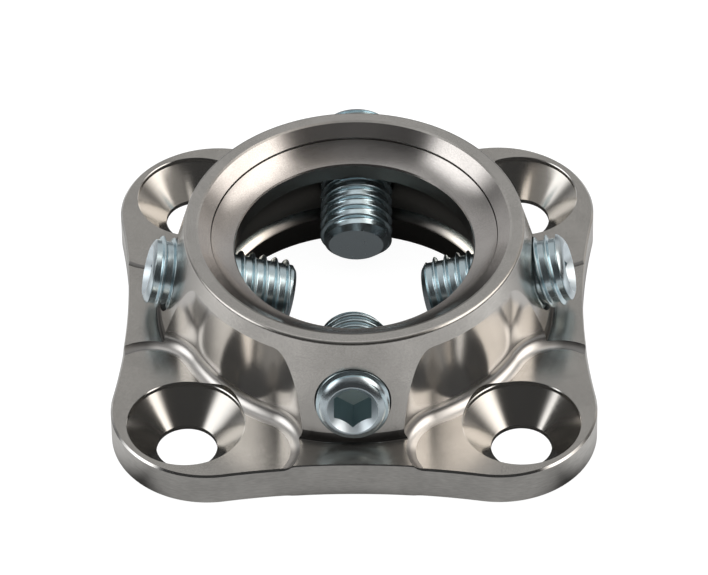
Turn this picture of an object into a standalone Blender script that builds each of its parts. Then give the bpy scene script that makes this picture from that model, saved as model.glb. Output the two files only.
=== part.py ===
"""Pyramid receiver of a modular leg prosthesis.

A turned and milled steel body with a dished seat, four countersunk bolt holes and
four inclined set screws, which clamp the pyramid of the mating adapter.
Metres, +Z up, base on the ground plane, front screw at -Y.
"""
import math

import bmesh
import bpy
from mathutils import Matrix, Vector

# Base plate
PLATE_THICKNESS = 0.0045
HOLE_SPACING = 0.036
CORNER_INSET = 0.00238
CORNER_RADIUS = 0.01055
SIDE_HOLLOW = 0.00136

# Countersunk bolt holes
HOLE_RADIUS = 0.00328
HOLE_LAND = 0.00052
COUNTERSINK_RADIUS = 0.00632

# Hub: a cone that stands square to the set screws
HUB_HEIGHT = 0.01625
RIM_OUTER_RADIUS = 0.01795
RIM_INNER_RADIUS = 0.01695
RIM_EDGE_WIDTH = 0.0005
RIM_EDGE_DROP = 0.0003
FOOT_FILLET = 0.0009

# Dished seat and the cavity below it
SEAT_BREAK_RADIUS = 0.01553
SEAT_UPPER_DEPTH = 0.00136
SEAT_LOWER_DEPTH = 0.00155
SEAT_DISH = 0.00012
MOUTH_RADIUS = 0.01296
LIP_HEIGHT = 0.002
CAVITY_TOP_RADIUS = 0.0147
CAVITY_BELLY_RADIUS = 0.0168
CAVITY_FOOT_RADIUS = 0.015
BASE_BORE_RADIUS = 0.016
BASE_BORE_DEPTH = 0.0038

# Milled corner pockets
POCKET_DROP = 0.0004
POCKET_WALL_RADIUS = 0.0189
POCKET_CUTTER_RADIUS = 0.006
POCKET_CUTTER_NOSE = 0.0015
POCKET_HALF_SWEEP = math.radians(18.3)

# Set screws
SCREW_RADIUS = 0.004
SCREW_LENGTH = 0.016
SCREW_HEAD_CHAMFER = 0.0005
SCREW_HEAD_TAPER = 0.0008
SCREW_TIP_CHAMFER = 0.001
SCREW_TIP_TAPER = 0.0008
SCREW_TILT = math.radians(15.0)
SCREW_AXIS_CROSSING = 0.00378
SOCKET_ACROSS_FLATS = 0.004
SOCKET_DEPTH = 0.0055
SOCKET_MOUTH_RADIUS = 0.00272
SOCKET_MOUTH_DEPTH = 0.001
THREAD_CLEARANCE = 0.0003

# Each set screw with its bearing and the reach of its outer end from the hub axis
FRONT_REACH = 0.02272
REAR_REACH = 0.0243
LEFT_REACH = 0.02339
RIGHT_REACH = 0.02424
SET_SCREWS = (
    ("set_screw_front", math.radians(-90.0), FRONT_REACH),
    ("set_screw_rear", math.radians(90.0), REAR_REACH),
    ("set_screw_left", math.radians(180.0), LEFT_REACH),
    ("set_screw_right", 0.0, RIGHT_REACH),
)

# Facets
TURNED_SEGMENTS = 96
SCREW_SEGMENTS = 36
HOLE_SEGMENTS = 40
CUT_MARGIN = 0.002
SHARP_ANGLE = math.radians(28.0)

CORNER_CENTRE = HOLE_SPACING / 2 - CORNER_INSET
BLANK_RADIUS = CORNER_CENTRE * math.sqrt(2) + CORNER_RADIUS + CUT_MARGIN
POCKET_FLOOR = PLATE_THICKNESS - POCKET_DROP
SCREW_HOLE_RADIUS = SCREW_RADIUS + THREAD_CLEARANCE


def clear_scene():
    for obj in list(bpy.data.objects):
        bpy.data.objects.remove(obj, do_unlink=True)


def material(name, colour, roughness):
    mat = bpy.data.materials.new(name)
    mat.use_nodes = True
    shader = mat.node_tree.nodes["Principled BSDF"]
    shader.inputs["Base Color"].default_value = (*colour, 1.0)
    shader.inputs["Metallic"].default_value = 1.0
    shader.inputs["Roughness"].default_value = roughness
    return mat


def add_object(name, bm, mat=None):
    bmesh.ops.recalc_face_normals(bm, faces=bm.faces)
    mesh = bpy.data.meshes.new(name)
    bm.to_mesh(mesh)
    bm.free()
    obj = bpy.data.objects.new(name, mesh)
    bpy.context.scene.collection.objects.link(obj)
    if mat:
        mesh.materials.append(mat)
    return obj


def arc(centre, radius, start, end, count):
    """Points along an arc in a plane, both ends included."""
    steps = [start + (end - start) * i / count for i in range(count + 1)]
    return [(centre[0] + radius * math.cos(a), centre[1] + radius * math.sin(a)) for a in steps]


def arc_through(first, middle, last, count):
    """Points along the circle through three points, from the first to the last."""
    ax, ay = first
    bx, by = middle
    cx, cy = last
    d = 2 * (ax * (by - cy) + bx * (cy - ay) + cx * (ay - by))
    a2, b2, c2 = ax * ax + ay * ay, bx * bx + by * by, cx * cx + cy * cy
    ux = (a2 * (by - cy) + b2 * (cy - ay) + c2 * (ay - by)) / d
    uy = (a2 * (cx - bx) + b2 * (ax - cx) + c2 * (bx - ax)) / d
    start = math.atan2(ay - uy, ax - ux)
    mid = start + math.remainder(math.atan2(by - uy, bx - ux) - start, math.tau)
    end = mid + math.remainder(math.atan2(cy - uy, cx - ux) - mid, math.tau)
    return arc((ux, uy), math.hypot(ax - ux, ay - uy), start, end, count)


def loft(rings):
    """A closed skin through rings of equal length, capped at both ends."""
    bm = bmesh.new()
    loops = [[bm.verts.new(point) for point in ring] for ring in rings]
    for low, high in zip(loops, loops[1:]):
        for i in range(len(low)):
            j = (i + 1) % len(low)
            bm.faces.new((low[i], low[j], high[j], high[i]))
    bm.faces.new(loops[0])
    bm.faces.new(loops[-1])
    return bm


def turned(profile, segments, closed):
    """Revolve (radius, height) points about Z: a ring if closed, else capped at both ends."""
    rings = []
    for radius, z in profile:
        turns = [math.tau * (i + 0.5) / segments for i in range(segments)]
        rings.append([(radius * math.cos(a), radius * math.sin(a), z) for a in turns])
    if not closed:
        return loft(rings)
    bm = bmesh.new()
    loops = [[bm.verts.new(point) for point in ring] for ring in rings]
    for low, high in zip(loops, loops[1:] + loops[:1]):
        for i in range(segments):
            j = (i + 1) % segments
            bm.faces.new((low[i], low[j], high[j], high[i]))
    return bm


def combine(target, operation, tool):
    """Cut or trim the target with a tool object and drop the tool."""
    tool.hide_render = True
    tool.display_type = "WIRE"
    modifier = target.modifiers.new(tool.name, "BOOLEAN")
    modifier.operation = operation
    modifier.solver = "EXACT"
    modifier.object = tool
    graph = bpy.context.evaluated_depsgraph_get()
    mesh = bpy.data.meshes.new_from_object(target.evaluated_get(graph))
    target.modifiers.clear()
    old = target.data
    target.data = mesh
    mesh.name = old.name
    bpy.data.meshes.remove(old)
    bpy.data.objects.remove(tool, do_unlink=True)


def finish(obj):
    obj.data.shade_smooth()
    obj.data.set_sharp_from_angle(angle=SHARP_ANGLE)


def plate_outline():
    """Four corner arcs joined by hollow sides that run tangent to them."""
    waist = CORNER_RADIUS - SIDE_HOLLOW
    side_radius = (waist ** 2 + CORNER_CENTRE ** 2 - CORNER_RADIUS ** 2) / (2 * SIDE_HOLLOW)
    side_centre = CORNER_CENTRE + waist + side_radius
    half = math.atan2(CORNER_CENTRE, side_centre - CORNER_CENTRE)
    side = arc((side_centre, 0.0), side_radius, math.pi + half, math.pi - half, 14)
    corner = arc((CORNER_CENTRE, CORNER_CENTRE), CORNER_RADIUS, -half, math.pi / 2 + half, 20)
    outline = []
    for quarter in range(4):
        turn = Matrix.Rotation(quarter * math.pi / 2, 2)
        outline += [tuple(turn @ Vector(point)) for point in side + corner[1:-1]]
    return outline


def outline_tool():
    heights = (-CUT_MARGIN, HUB_HEIGHT + CUT_MARGIN)
    outline = plate_outline()
    return add_object("outline_tool", loft([[(x, y, z) for x, y in outline] for z in heights]))


def hub_profile():
    """Outer side of the turned blank, from the plate's rim up to the hub's rim."""
    top_radius = RIM_OUTER_RADIUS + RIM_EDGE_WIDTH
    top = HUB_HEIGHT - RIM_EDGE_DROP
    flare = math.tan(SCREW_TILT)
    # The foot fillet touches the plate and the cone
    centre_z = PLATE_THICKNESS + FOOT_FILLET
    cone_radius = top_radius + (top - centre_z) * flare
    centre_r = cone_radius + FOOT_FILLET / math.cos(SCREW_TILT)
    foot = arc((centre_r, centre_z), FOOT_FILLET, -math.pi / 2, SCREW_TILT - math.pi, 4)
    return [(BLANK_RADIUS, 0.0), (BLANK_RADIUS, PLATE_THICKNESS)] + foot + [
        (top_radius, top),
        (RIM_OUTER_RADIUS, HUB_HEIGHT),
        (RIM_INNER_RADIUS, HUB_HEIGHT),
    ]


def dished(start, end, count):
    """Points of a slightly hollow band between two points, both ends left out."""
    length = math.hypot(end[0] - start[0], end[1] - start[1])
    normal = ((end[1] - start[1]) / length, -(end[0] - start[0]) / length)
    middle = ((start[0] + end[0]) / 2 - normal[0] * SEAT_DISH,
              (start[1] + end[1]) / 2 - normal[1] * SEAT_DISH)
    return arc_through(start, middle, end, count)[1:-1]


def bore_profile():
    """Inner side of the turned blank, from the hub's rim down to the base."""
    break_z = HUB_HEIGHT - SEAT_UPPER_DEPTH
    mouth_z = break_z - SEAT_LOWER_DEPTH
    lip_z = mouth_z - LIP_HEIGHT
    belly = (CAVITY_BELLY_RADIUS, (lip_z + BASE_BORE_DEPTH) / 2)
    seat_break = (SEAT_BREAK_RADIUS, break_z)
    mouth = (MOUTH_RADIUS, mouth_z)
    cavity = arc_through((CAVITY_TOP_RADIUS, lip_z), belly, (CAVITY_FOOT_RADIUS, BASE_BORE_DEPTH), 8)
    return [seat_break] + dished(seat_break, mouth, 3) + [mouth, (MOUTH_RADIUS, lip_z)] + cavity + [
        (BASE_BORE_RADIUS, BASE_BORE_DEPTH),
        (BASE_BORE_RADIUS, 0.0),
    ]


def pocket_ring(height, inset, reach):
    """Plan of one corner pocket, centred on +X, with its walls moved in by inset."""
    path = POCKET_WALL_RADIUS + POCKET_CUTTER_RADIUS
    radius = POCKET_CUTTER_RADIUS - inset
    sweep = POCKET_HALF_SWEEP
    wall = arc((0.0, 0.0), path - radius, sweep, -sweep, 10)
    end = (path * math.cos(sweep), path * math.sin(sweep))
    right = arc((end[0], -end[1]), radius, math.pi - sweep, 1.5 * math.pi - sweep, 12)[1:]
    left = arc(end, radius, math.pi / 2 + sweep, math.pi + sweep, 12)[:-1]
    out = Vector((math.cos(sweep), math.sin(sweep))) * (reach - path)
    far_left = (left[0][0] + out.x, left[0][1] + out.y)
    far_right = (right[-1][0] + out.x, right[-1][1] - out.y)
    return [(x, y, height) for x, y in [far_left] + left + wall + right + [far_right]]


def pocket_tool(index):
    """The space that a bull-nosed cutter sweeps around one corner."""
    rings = []
    for step in range(6):
        angle = math.pi / 2 * step / 5
        inset = POCKET_CUTTER_NOSE * (1 - math.sin(angle))
        height = POCKET_FLOOR + POCKET_CUTTER_NOSE * (1 - math.cos(angle))
        rings.append(pocket_ring(height, inset, BLANK_RADIUS + POCKET_CUTTER_RADIUS))
    rings.append(pocket_ring(HUB_HEIGHT + CUT_MARGIN, 0.0, BLANK_RADIUS + POCKET_CUTTER_RADIUS))
    tool = add_object(f"pocket_tool_{index}", loft(rings))
    tool.rotation_euler.z = math.pi / 4 + index * math.pi / 2
    return tool


def bolt_hole_tool(index):
    sink_z = HOLE_LAND + COUNTERSINK_RADIUS - HOLE_RADIUS
    profile = [
        (HOLE_RADIUS, -CUT_MARGIN),
        (HOLE_RADIUS, HOLE_LAND),
        (COUNTERSINK_RADIUS, sink_z),
        (COUNTERSINK_RADIUS, HUB_HEIGHT),
    ]
    tool = add_object(f"bolt_hole_tool_{index}", turned(profile, HOLE_SEGMENTS, False))
    bearing = math.pi / 4 + index * math.pi / 2
    tool.location.x = HOLE_SPACING / math.sqrt(2) * math.cos(bearing)
    tool.location.y = HOLE_SPACING / math.sqrt(2) * math.sin(bearing)
    return tool


def screw_frame(bearing, reach):
    """Placement on a screw's axis, with local +Z pointing out of the hub and upwards."""
    tilt = Matrix.Rotation(math.pi / 2 - SCREW_TILT, 4, "Y")
    turn = Matrix.Rotation(bearing, 4, "Z")
    lift = Matrix.Translation((0.0, 0.0, SCREW_AXIS_CROSSING))
    return lift @ turn @ tilt @ Matrix.Translation((0.0, 0.0, reach))


def screw_hole_tool(name, bearing):
    start = CAVITY_BELLY_RADIUS - SCREW_HOLE_RADIUS
    profile = [(SCREW_HOLE_RADIUS, 0.0), (SCREW_HOLE_RADIUS, BLANK_RADIUS - start)]
    tool = add_object(f"hole_of_{name}", turned(profile, SCREW_SEGMENTS, False))
    tool.matrix_world = screw_frame(bearing, start)
    return tool


def build_body(mat):
    blank = turned(hub_profile() + bore_profile(), TURNED_SEGMENTS, True)
    body = add_object("receiver_body", blank, mat)
    for index in range(4):
        combine(body, "DIFFERENCE", pocket_tool(index))
        combine(body, "DIFFERENCE", bolt_hole_tool(index))
    for name, bearing, _ in SET_SCREWS:
        combine(body, "DIFFERENCE", screw_hole_tool(name, bearing))
    combine(body, "INTERSECT", outline_tool())
    finish(body)


def socket_tool(name):
    """Hexagon key socket with a round countersunk mouth, open towards +Z."""
    corner = SOCKET_ACROSS_FLATS / math.sqrt(3)
    hexagon = arc((0.0, 0.0), corner, 0.0, math.tau * 5 / 6, 5)
    prism = loft([[(x, y, z) for x, y in hexagon] for z in (-SOCKET_DEPTH, CUT_MARGIN)])
    return add_object(f"hexagon_of_{name}", prism)


def mouth_tool(name):
    """Countersink that runs down to the flats of the hexagon."""
    profile = [
        (SOCKET_ACROSS_FLATS / 2, -SOCKET_MOUTH_DEPTH),
        (SOCKET_MOUTH_RADIUS, 0.0),
        (SOCKET_MOUTH_RADIUS, CUT_MARGIN),
    ]
    return add_object(f"mouth_of_{name}", turned(profile, SCREW_SEGMENTS, False))


def build_screw(name, bearing, reach, mat):
    """A set screw with its origin at the middle of its length, on its axis."""
    half = SCREW_LENGTH / 2
    profile = [
        (SCREW_RADIUS - SCREW_TIP_CHAMFER, -SCREW_LENGTH),
        (SCREW_RADIUS, SCREW_TIP_TAPER - SCREW_LENGTH),
        (SCREW_RADIUS, -SCREW_HEAD_TAPER),
        (SCREW_RADIUS - SCREW_HEAD_CHAMFER, 0.0),
    ]
    screw = add_object(name, turned(profile, SCREW_SEGMENTS, False), mat)
    combine(screw, "DIFFERENCE", mouth_tool(name))
    combine(screw, "DIFFERENCE", socket_tool(name))
    screw.data.transform(Matrix.Translation((0.0, 0.0, half)))
    screw.matrix_world = screw_frame(bearing, reach - half)
    finish(screw)
    return screw


def main():
    clear_scene()
    steel = material("machined_steel", (0.56, 0.54, 0.51), 0.28)
    zinc = material("zinc_plated_steel", (0.62, 0.67, 0.70), 0.22)
    build_body(steel)
    for name, bearing, reach in SET_SCREWS:
        build_screw(name, bearing, reach, zinc)


main()
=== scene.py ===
"""Pyramid receiver of a modular leg prosthesis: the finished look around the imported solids.

Metres, +Z up, base on the ground plane, front screw at -Y.
"""
import math

import bpy
import numpy as np
from mathutils import Matrix, Vector


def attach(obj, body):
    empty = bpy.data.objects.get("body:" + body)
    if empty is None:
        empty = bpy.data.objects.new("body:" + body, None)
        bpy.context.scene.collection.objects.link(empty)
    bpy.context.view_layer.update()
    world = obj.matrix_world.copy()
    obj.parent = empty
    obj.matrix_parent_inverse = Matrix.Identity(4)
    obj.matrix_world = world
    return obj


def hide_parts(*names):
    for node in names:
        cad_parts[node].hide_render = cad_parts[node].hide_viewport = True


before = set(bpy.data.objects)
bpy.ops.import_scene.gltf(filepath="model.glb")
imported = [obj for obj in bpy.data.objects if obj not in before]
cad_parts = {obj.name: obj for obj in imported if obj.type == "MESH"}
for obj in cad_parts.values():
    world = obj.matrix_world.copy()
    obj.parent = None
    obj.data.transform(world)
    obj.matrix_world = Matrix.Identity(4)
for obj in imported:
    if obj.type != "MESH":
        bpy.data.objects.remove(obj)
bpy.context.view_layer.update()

# Base plate
PLATE_THICKNESS = 0.0045
HOLE_SPACING = 0.036
CORNER_INSET = 0.00238
CORNER_RADIUS = 0.01055
SIDE_HOLLOW = 0.00136
CORNER_EDGE_BREAK = 0.00021
WAIST_EDGE_BREAK = 0.00011

# Countersunk bolt holes
HOLE_RADIUS = 0.00328
HOLE_LAND = 0.00052
COUNTERSINK_RADIUS = 0.00632
COUNTERSINK_EDGE_BREAK = 0.00008

# Hub
HUB_HEIGHT = 0.01625
RIM_OUTER_RADIUS = 0.01795
RIM_INNER_RADIUS = 0.01695
RIM_EDGE_WIDTH = 0.0005
RIM_EDGE_DROP = 0.0003
RIM_OUTER_ROUND = 0.00045
RIM_INNER_ROUND = 0.00012
FOOT_FILLET = 0.0003
FOOT_BAND = 0.0011

# Dished seat, its undercut step and the cavity below it
SEAT_BREAK_RADIUS = 0.01553
SEAT_STEP_TOP = 0.0151
SEAT_STEP_FOOT = 0.0149
SEAT_GROOVE_WIDTH = 0.00008
SEAT_GROOVE_DEPTH = 0.00012
SEAT_DISH = 0.00012
MOUTH_RADIUS = 0.01296
MOUTH_Z = 0.01334
MOUTH_ROUND = 0.00012
LIP_HEIGHT = 0.002
CAVITY_TOP_RADIUS = 0.0147
CAVITY_BELLY_RADIUS = 0.0163
CAVITY_FOOT_RADIUS = 0.015
CAVITY_FOOT_ROUND = 0.0024
CAVITY_ROUND_START = math.radians(30.0)
CAVITY_FOOT_LEAN = math.radians(62.0)
BASE_BORE_RADIUS = 0.016
BASE_BORE_DEPTH = 0.0038

# Milled corner pockets
POCKET_DROP = 0.0004
POCKET_WALL_RADIUS = 0.0189
POCKET_CUTTER_RADIUS = 0.006
POCKET_CUTTER_NOSE = 0.0015
POCKET_HALF_SWEEP = math.radians(18.3)

# Set screws
SCREW_RADIUS = 0.004
SCREW_LENGTH = 0.016
SCREW_HEAD_TAPER = 0.00122
SCREW_HEAD_BULGE = (0.0035, -0.00045)
SCREW_FACE_EDGE = (0.00283, -0.0001)
SCREW_TIP_CHAMFER = 0.001
SCREW_TIP_TAPER = 0.0008
SCREW_TILT = math.radians(15.0)
SCREW_AXIS_CROSSING = 0.00378
SOCKET_ACROSS_FLATS = 0.004
SOCKET_DEPTH = 0.0055
SOCKET_MOUTH_RADIUS = 0.00282
SOCKET_MOUTH_DEPTH = 0.001
THREAD_PITCH = 0.00125
THREAD_CREST_RADIUS = 0.00397
THREAD_DEPTH = 0.0005
THREAD_CREST_SHARE = 0.06
THREAD_ROOT_SHARE = 0.52
SCREW_BORE_RADIUS = 0.00411
SCREW_BORE_MOUTH = 0.00003

# Each set screw with its bearing, the reach of its outer end from the hub axis and its turn
SET_SCREWS = (
    ("front", math.radians(-90.0), 0.02272, 0.0),
    ("rear", math.radians(90.0), 0.0243, 0.0),
    ("left", math.radians(180.0), 0.02339, math.radians(180.0)),
    ("right", 0.0, 0.02424, 0.0),
)

# Facets
TURNED_SEGMENTS = 176
SCREW_SEGMENTS = 72
HOLE_SEGMENTS = 96
THREAD_STEPS = 16
EDGE_STEPS = 8
FILLET_STEPS = 12
CAVITY_STEPS = 16
POCKET_WALL_STEPS = 24
POCKET_END_STEPS = 28
SIDE_STEPS = 64
CORNER_STEPS = 56

# How far tools and the threaded rod run past their work, and least lengths at an axis and in divisions
CUT_MARGIN = 0.002
THREAD_SPARE_TURNS = 2
AXIS_GAP = 0.0001
TINY = 1e-9

# Sizes that follow from those above
CORNER_CENTRE = HOLE_SPACING / 2 - CORNER_INSET
BLANK_RADIUS = CORNER_CENTRE * math.sqrt(2) + CORNER_RADIUS + CUT_MARGIN
POCKET_FLOOR = PLATE_THICKNESS - POCKET_DROP
POCKET_PATH = POCKET_WALL_RADIUS + POCKET_CUTTER_RADIUS
SIDE_WAIST = CORNER_RADIUS - SIDE_HOLLOW
SIDE_RADIUS = (SIDE_WAIST ** 2 + CORNER_CENTRE ** 2 - CORNER_RADIUS ** 2) / (2 * SIDE_HOLLOW)
SIDE_CENTRE = CORNER_CENTRE + SIDE_WAIST + SIDE_RADIUS
SIDE_HALF_ANGLE = math.atan2(CORNER_CENTRE, SIDE_CENTRE - CORNER_CENTRE)
HALF_SCREW = SCREW_LENGTH / 2


# Surfaces that the cuts leave

class Skin:
    """The finish that a cut leaves, and a rule for the way its surface faces at points of the tool."""

    def __init__(self, finish, facing, place):
        self.finish = finish
        self.facing = facing
        self.place = place


skins = []


def add_skin(finish, facing=None, place=None):
    skins.append(Skin(finish, facing, place or Matrix()))
    return len(skins) - 1


class Stretch:
    """A run of (radius, height) points on a turned profile, with the centre of its arc if it has one."""

    def __init__(self, points, finish, centre=None):
        self.points = points
        self.finish = finish
        self.centre = centre

    def facing(self, points):
        radius = np.maximum(np.hypot(points[:, 0], points[:, 1]), TINY)
        if self.centre:
            across = radius - self.centre[0]
            along = points[:, 2] - self.centre[1]
        else:
            (start_r, start_z), (end_r, end_z) = self.points[0], self.points[-1]
            across = np.full(len(points), end_z - start_z)
            along = np.full(len(points), start_r - end_r)
        return np.column_stack((points[:, 0] / radius * across, points[:, 1] / radius * across, along))


def arc(centre, radius, start, end, count):
    """Points along an arc in a plane, both ends included."""
    steps = [start + (end - start) * i / count for i in range(count + 1)]
    return [(centre[0] + radius * math.cos(a), centre[1] + radius * math.sin(a)) for a in steps]


def straight(start, end, finish):
    return Stretch([start, end], finish)


def rounded(centre, radius, start, end, count, finish):
    return Stretch(arc(centre, radius, start, end, count), finish, centre)


def rounded_through(first, middle, last, count, finish):
    """An arc through three points of a profile."""
    (ax, ay), (bx, by), (cx, cy) = first, middle, last
    d = 2 * (ax * (by - cy) + bx * (cy - ay) + cx * (ay - by))
    a2, b2, c2 = ax * ax + ay * ay, bx * bx + by * by, cx * cx + cy * cy
    ux = (a2 * (by - cy) + b2 * (cy - ay) + c2 * (ay - by)) / d
    uy = (a2 * (cx - bx) + b2 * (ax - cx) + c2 * (bx - ax)) / d
    start = math.atan2(ay - uy, ax - ux)
    mid = start + math.remainder(math.atan2(by - uy, bx - ux) - start, math.tau)
    end = mid + math.remainder(math.atan2(cy - uy, cx - ux) - mid, math.tau)
    return rounded((ux, uy), math.hypot(ax - ux, ay - uy), start, end, count, finish)


def dished(start, end, hollow, count, finish):
    """A slightly hollow band between two points of a profile that runs inwards and down."""
    length = math.hypot(end[0] - start[0], end[1] - start[1])
    side = ((end[1] - start[1]) / length, (start[0] - end[0]) / length)
    middle = ((start[0] + end[0]) / 2 - side[0] * hollow, (start[1] + end[1]) / 2 - side[1] * hollow)
    return rounded_through(start, middle, end, count, finish)


# Meshes

def add_piece(name, points, faces, numbers):
    """An object whose faces carry the numbers of their skins."""
    mesh = bpy.data.meshes.new(name)
    mesh.from_pydata(points, [], faces)
    mesh.attributes.new("skin", "INT", "FACE").data.foreach_set("value", numbers)
    obj = bpy.data.objects.new(name, mesh)
    bpy.context.scene.collection.objects.link(obj)
    return obj


def loft(name, rings, bands, caps=None):
    """A skin through rings of equal length: capped at both ends, or closed on itself without caps."""
    count = len(rings[0])
    points = [point for ring in rings for point in ring]
    faces = []
    numbers = []
    for low, number in enumerate(bands):
        high = (low + 1) % len(rings)
        for i in range(count):
            j = (i + 1) % count
            faces.append((low * count + i, low * count + j, high * count + j, high * count + i))
            numbers.append(number)
    if caps:
        top = (len(rings) - 1) * count
        faces += [tuple(reversed(range(count))), tuple(range(top, top + count))]
        numbers += caps
    return add_piece(name, points, faces, numbers)


def turned(name, stretches, segments, place=None, closed=False):
    """Revolve a profile about Z: a ring if closed, else capped at both ends."""
    profile = []
    bands = []
    for stretch in stretches:
        number = add_skin(stretch.finish, stretch.facing, place)
        profile += stretch.points[:-1]
        bands += [number] * (len(stretch.points) - 1)
    if not closed:
        profile.append(stretches[-1].points[-1])
    turns = [math.tau * (i + 0.5) / segments for i in range(segments)]
    rings = [[(r * math.cos(a), r * math.sin(a), z) for a in turns] for r, z in profile]
    flat = [add_skin(stretches[0].finish), add_skin(stretches[-1].finish)]
    obj = loft(name, rings, bands, None if closed else flat)
    obj.matrix_world = place or Matrix()
    return obj


def combine(target, operation, tool):
    """Cut or trim the target with a tool object and drop the tool."""
    modifier = target.modifiers.new(tool.name, "BOOLEAN")
    modifier.operation = operation
    modifier.solver = "EXACT"
    modifier.object = tool
    graph = bpy.context.evaluated_depsgraph_get()
    mesh = bpy.data.meshes.new_from_object(target.evaluated_get(graph))
    target.modifiers.clear()
    old = target.data
    target.data = mesh
    bpy.data.meshes.remove(old)
    bpy.data.objects.remove(tool, do_unlink=True)


def read(collection, attribute, width, kind=float):
    values = np.empty(len(collection) * width, kind)
    collection.foreach_get(attribute, values)
    return values.reshape(-1, width) if width > 1 else values


def face_skins(obj, finishes):
    """Give each face its finish, and each corner the exact direction of its surface."""
    mesh = obj.data
    numbers = read(mesh.attributes["skin"].data, "value", 1, int)
    order = list(finishes)
    for finish in finishes.values():
        mesh.materials.append(finish)
    slots = np.array([order.index(skin.finish) for skin in skins])
    mesh.polygons.foreach_set("material_index", slots[numbers])
    mesh.shade_smooth()
    face_of = np.repeat(np.arange(len(numbers)), read(mesh.polygons, "loop_total", 1, int))
    points = read(mesh.vertices, "co", 3)[read(mesh.loops, "vertex_index", 1, int)]
    normals = read(mesh.polygons, "normal", 3)[face_of]
    for number in np.unique(numbers):
        skin = skins[number]
        if skin.facing is None:
            continue
        chosen = numbers[face_of] == number
        place = np.array(skin.place)
        turn = place[:3, :3]
        out = skin.facing((points[chosen] - place[:3, 3]) @ turn) @ turn.T
        out /= np.maximum(np.linalg.norm(out, axis=1, keepdims=True), TINY)
        out[(out * normals[chosen]).sum(axis=1) < 0] *= -1
        normals[chosen] = out
    mesh.normals_split_custom_set(normals.tolist())


# Receiver body

def cone_radius(height):
    """Radius of the hub's cone, which stands square to the set screws."""
    return RIM_OUTER_RADIUS + RIM_EDGE_WIDTH + (HUB_HEIGHT - RIM_EDGE_DROP - height) * math.tan(SCREW_TILT)


def hub_stretches():
    """Outer side of the turned blank, from the plate's rim up to the hub's rim."""
    foot_z = PLATE_THICKNESS + FOOT_FILLET
    foot_centre = (cone_radius(foot_z) + FOOT_FILLET / math.cos(SCREW_TILT), foot_z)
    # The foot fillet and the band above it are darkened by painted shade
    foot = rounded(foot_centre, FOOT_FILLET, -math.pi / 2, SCREW_TILT - math.pi, FILLET_STEPS, "foot")
    band_z = PLATE_THICKNESS + FOOT_BAND
    band_top = (cone_radius(band_z), band_z)
    # The rim's outer round touches the cone and the flat rim
    edge_z = HUB_HEIGHT - RIM_OUTER_ROUND
    edge_centre = (cone_radius(edge_z) - RIM_OUTER_ROUND / math.cos(SCREW_TILT), edge_z)
    edge = rounded(edge_centre, RIM_OUTER_ROUND, SCREW_TILT, math.pi / 2, EDGE_STEPS, "turned")
    return [
        straight((BLANK_RADIUS, 0.0), (BLANK_RADIUS, PLATE_THICKNESS), "side"),
        straight((BLANK_RADIUS, PLATE_THICKNESS), foot.points[0], "milled"),
        foot,
        straight(foot.points[-1], band_top, "foot"),
        straight(band_top, edge.points[0], "turned"),
        edge,
        straight(edge.points[-1], (RIM_INNER_RADIUS + RIM_INNER_ROUND, HUB_HEIGHT), "turned"),
    ]


def seat_stretches():
    """Inner side of the rim, the dished seat with its step and groove, and the edge of its mouth."""
    rim = (RIM_INNER_RADIUS + RIM_INNER_ROUND, HUB_HEIGHT)
    slope = (HUB_HEIGHT - SEAT_STEP_TOP) / (RIM_INNER_RADIUS - SEAT_BREAK_RADIUS)
    upper = (RIM_INNER_RADIUS - RIM_INNER_ROUND, HUB_HEIGHT - RIM_INNER_ROUND * slope)
    step_top = (SEAT_BREAK_RADIUS, SEAT_STEP_TOP)
    step_foot = (SEAT_BREAK_RADIUS, SEAT_STEP_FOOT)
    groove_floor = (SEAT_BREAK_RADIUS, SEAT_STEP_FOOT - SEAT_GROOVE_DEPTH)
    groove_edge = (SEAT_BREAK_RADIUS - SEAT_GROOVE_WIDTH, SEAT_STEP_FOOT - SEAT_GROOVE_WIDTH / 2)
    mouth = (MOUTH_RADIUS + MOUTH_ROUND, MOUTH_Z + MOUTH_ROUND / 2)
    lip = (MOUTH_RADIUS, MOUTH_Z - MOUTH_ROUND)
    return [
        straight(rim, upper, "turned"),
        straight(upper, step_top, "seat"),
        straight(step_top, step_foot, "seat"),
        # The step's groove takes the bore's painted shade, which draws it as a dark line
        straight(step_foot, groove_floor, "bore"),
        straight(groove_floor, groove_edge, "bore"),
        dished(groove_edge, mouth, SEAT_DISH, EDGE_STEPS, "seat"),
        straight(mouth, lip, "seat"),
    ]


def cavity_stretches():
    """Lip, the cavity below it with its rounded foot, and the wide bore in the base."""
    lip = (MOUTH_RADIUS, MOUTH_Z - MOUTH_ROUND)
    lip_foot = (MOUTH_RADIUS, MOUTH_Z - LIP_HEIGHT)
    cavity_top = (CAVITY_TOP_RADIUS, MOUTH_Z - LIP_HEIGHT)
    belly = (CAVITY_BELLY_RADIUS, (cavity_top[1] + BASE_BORE_DEPTH) / 2)
    # The rounded foot carries painted highlight beside the side screws and painted shade elsewhere
    round_centre = (CAVITY_FOOT_RADIUS - CAVITY_FOOT_ROUND * math.cos(CAVITY_FOOT_LEAN),
                    BASE_BORE_DEPTH + CAVITY_FOOT_ROUND * math.sin(CAVITY_FOOT_LEAN))
    cavity_round = rounded(round_centre, CAVITY_FOOT_ROUND, -CAVITY_ROUND_START, -CAVITY_FOOT_LEAN,
                           EDGE_STEPS, "painted_round")
    cavity_foot = (CAVITY_FOOT_RADIUS, BASE_BORE_DEPTH)
    bore_top = (BASE_BORE_RADIUS, BASE_BORE_DEPTH)
    bore_foot = (BASE_BORE_RADIUS, 0.0)
    return [
        straight(lip, lip_foot, "bore"),
        straight(lip_foot, cavity_top, "bore"),
        rounded_through(cavity_top, belly, cavity_round.points[0], CAVITY_STEPS, "bore"),
        cavity_round,
        straight(cavity_foot, bore_top, "bore"),
        straight(bore_top, bore_foot, "bore"),
        straight(bore_foot, (BLANK_RADIUS, 0.0), "base"),
    ]


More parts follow.
